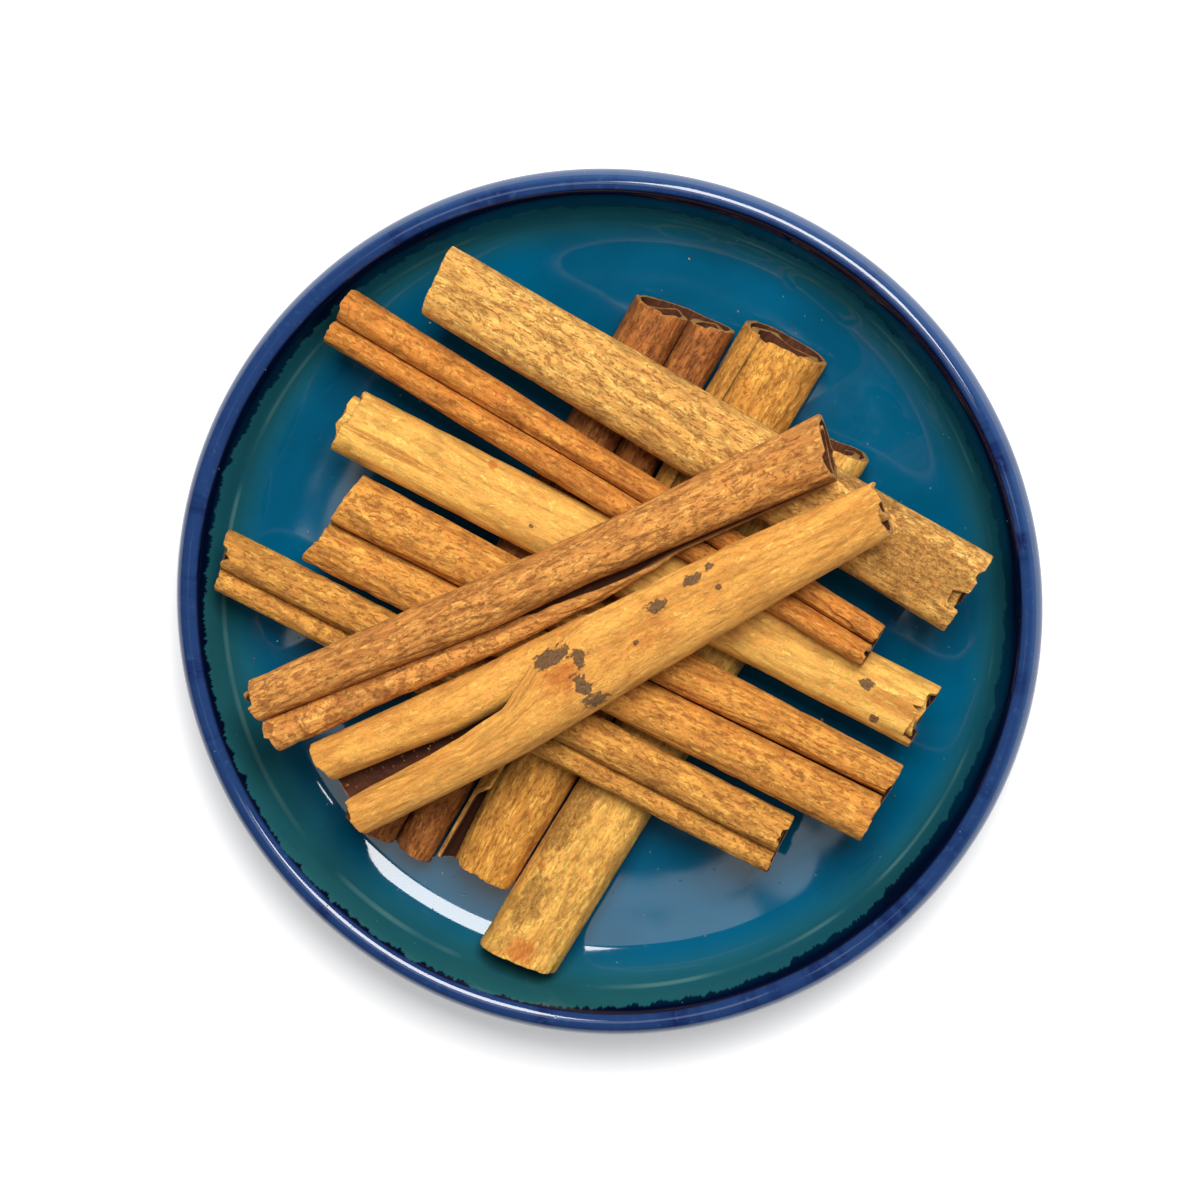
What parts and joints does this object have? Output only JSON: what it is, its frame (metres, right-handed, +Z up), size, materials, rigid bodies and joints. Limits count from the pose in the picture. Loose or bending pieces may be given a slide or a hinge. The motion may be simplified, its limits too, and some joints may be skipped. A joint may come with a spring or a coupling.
{
  "type": "stack of cinnamon sticks in a dish",
  "caption": "Rolled cinnamon bark sticks stacked crosswise in layers in a small round glazed dish.",
  "frame": {"origin": "centre of the dish's foot, on the surface it stands on", "axes": "+Z up, +Y to the far side of the dish, +X to the right"},
  "size_m": [0.112, 0.112, 0.035],
  "materials": {
    "dish_glaze": "glossy teal glaze with a dark blue rim",
    "pale_bark": "dry, finely streaked",
    "golden_bark": "dry, finely streaked",
    "red_bark": "dry, finely streaked"
  },
  "bodies": {
    "root": {"dish": "dish_glaze", "stick_bottom_left": "red_bark", "stick_bottom_middle": "golden_bark", "stick_bottom_right": "pale_bark", "stick_middle_far": "pale_bark", "stick_middle_red": "red_bark", "stick_middle_pale": "pale_bark", "stick_middle_broad": "golden_bark", "stick_middle_near": "golden_bark", "stick_top_far": "red_bark", "stick_top_near": "pale_bark"}
  },
  "joints": []
}
